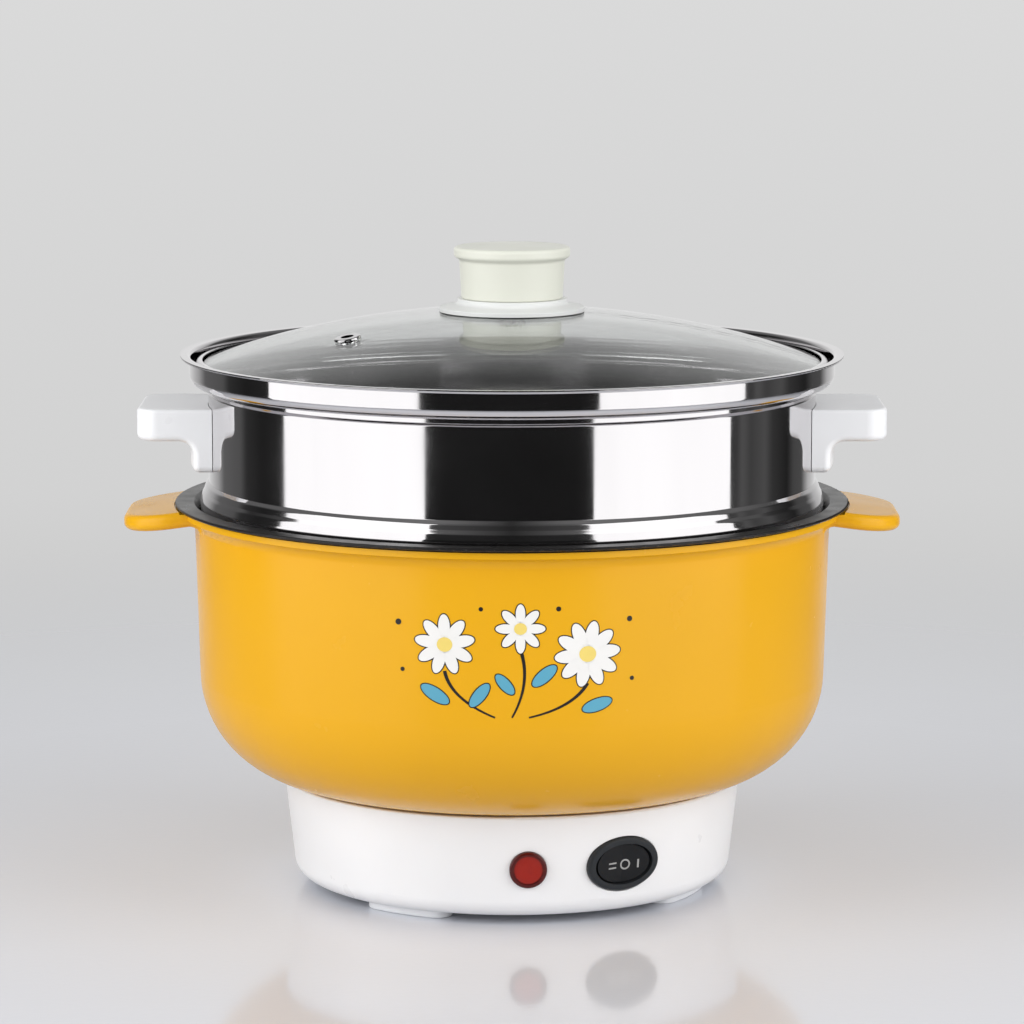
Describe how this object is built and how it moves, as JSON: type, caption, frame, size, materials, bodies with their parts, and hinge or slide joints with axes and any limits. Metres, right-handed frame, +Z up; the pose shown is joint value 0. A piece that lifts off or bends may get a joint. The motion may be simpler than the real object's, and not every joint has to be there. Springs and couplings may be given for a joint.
{
  "type": "electric cooking pot",
  "caption": "Round electric cooking pot on a drum base with a rocker switch and a pilot lamp, with ear grips, a lift-off polished steamer with side handles, and a domed glass lid with a knob.",
  "frame": {"origin": "on the table, under the middle of the pot, at the underside of the feet", "axes": "+Z up, +X to the right along the ears, -Y to the front with the switch and the lamp"},
  "size_m": [0.2906, 0.2534, 0.2422],
  "materials": {
    "white_plastic": "smooth moulded",
    "yellow_plastic": "glossy moulded",
    "black_coating": "non-stick coating",
    "stainless_steel": "mirror polished steel",
    "lid_glass": "clear",
    "knob_plastic": "smooth moulded",
    "red_lens": "translucent",
    "switch_black": "fine texture",
    "inlet_black": "fine texture",
    "soft_black": "silicone",
    "cast_aluminium": "as cast",
    "plain_steel": "zinc plated",
    "dark_mould": "moulded",
    "clear_bulb": "clear",
    "brass_blade": "plain",
    "lead_cover": "glass-braid sleeve"
  },
  "bodies": {
    "pot_unit": {"base_shell": "white_plastic", "bottom_cover": "white_plastic", "base_feet": "white_plastic", "pilot_clip": "white_plastic", "pilot_cap": "white_plastic", "outer_shell": "yellow_plastic", "inner_pot": "black_coating", "pilot_lens": "red_lens", "switch_body": "switch_black", "inlet_body": "inlet_black", "rim_seal": "soft_black", "heating_plate": "cast_aluminium", "bottom_screws": "plain_steel", "heating_element": "plain_steel", "heat_shield": "plain_steel", "pot_studs": "plain_steel", "stud_spacers": "plain_steel", "stud_nuts": "plain_steel", "thermostat_bracket": "plain_steel", "bracket_screws": "plain_steel", "fuse_clip": "plain_steel", "thermostat": "dark_mould", "thermal_fuse": "dark_mould", "neon_bulb": "clear_bulb", "switch_terminals": "brass_blade", "inlet_pins": "brass_blade", "live_lead": "lead_cover", "heater_lead": "lead_cover", "neutral_lead": "lead_cover"},
    "rocker": {"rocker": "switch_black"},
    "steamer": {"steamer_pan": "stainless_steel", "steamer_plate": "stainless_steel", "steamer_handle_right": "white_plastic", "steamer_handle_left": "white_plastic", "handle_rivets": "stainless_steel"},
    "lid": {"lid_glass": "lid_glass", "lid_rim": "stainless_steel", "lid_packing": "soft_black", "vent_eyelet": "stainless_steel", "knob_skirt": "knob_plastic", "lid_knob": "knob_plastic", "knob_screw": "plain_steel", "knob_washers": "soft_black"}
  },
  "joints": [
    {"name": "steamer_lift", "type": "slide", "parent": "pot_unit", "child": "steamer", "axis": [0, 0, 1], "range_m": [0, 0.12]},
    {"name": "lid_lift", "type": "slide", "parent": "steamer", "child": "lid", "axis": [0, 0, 1], "range_m": [0, 0.12]},
    {"name": "rocker_tip", "type": "hinge", "parent": "pot_unit", "child": "rocker", "pos_m": [0.03855, -0.06983, 0.02229], "axis": [0.0552, -0.0999, 0.9935], "range_deg": [-8, 8]}
  ]
}
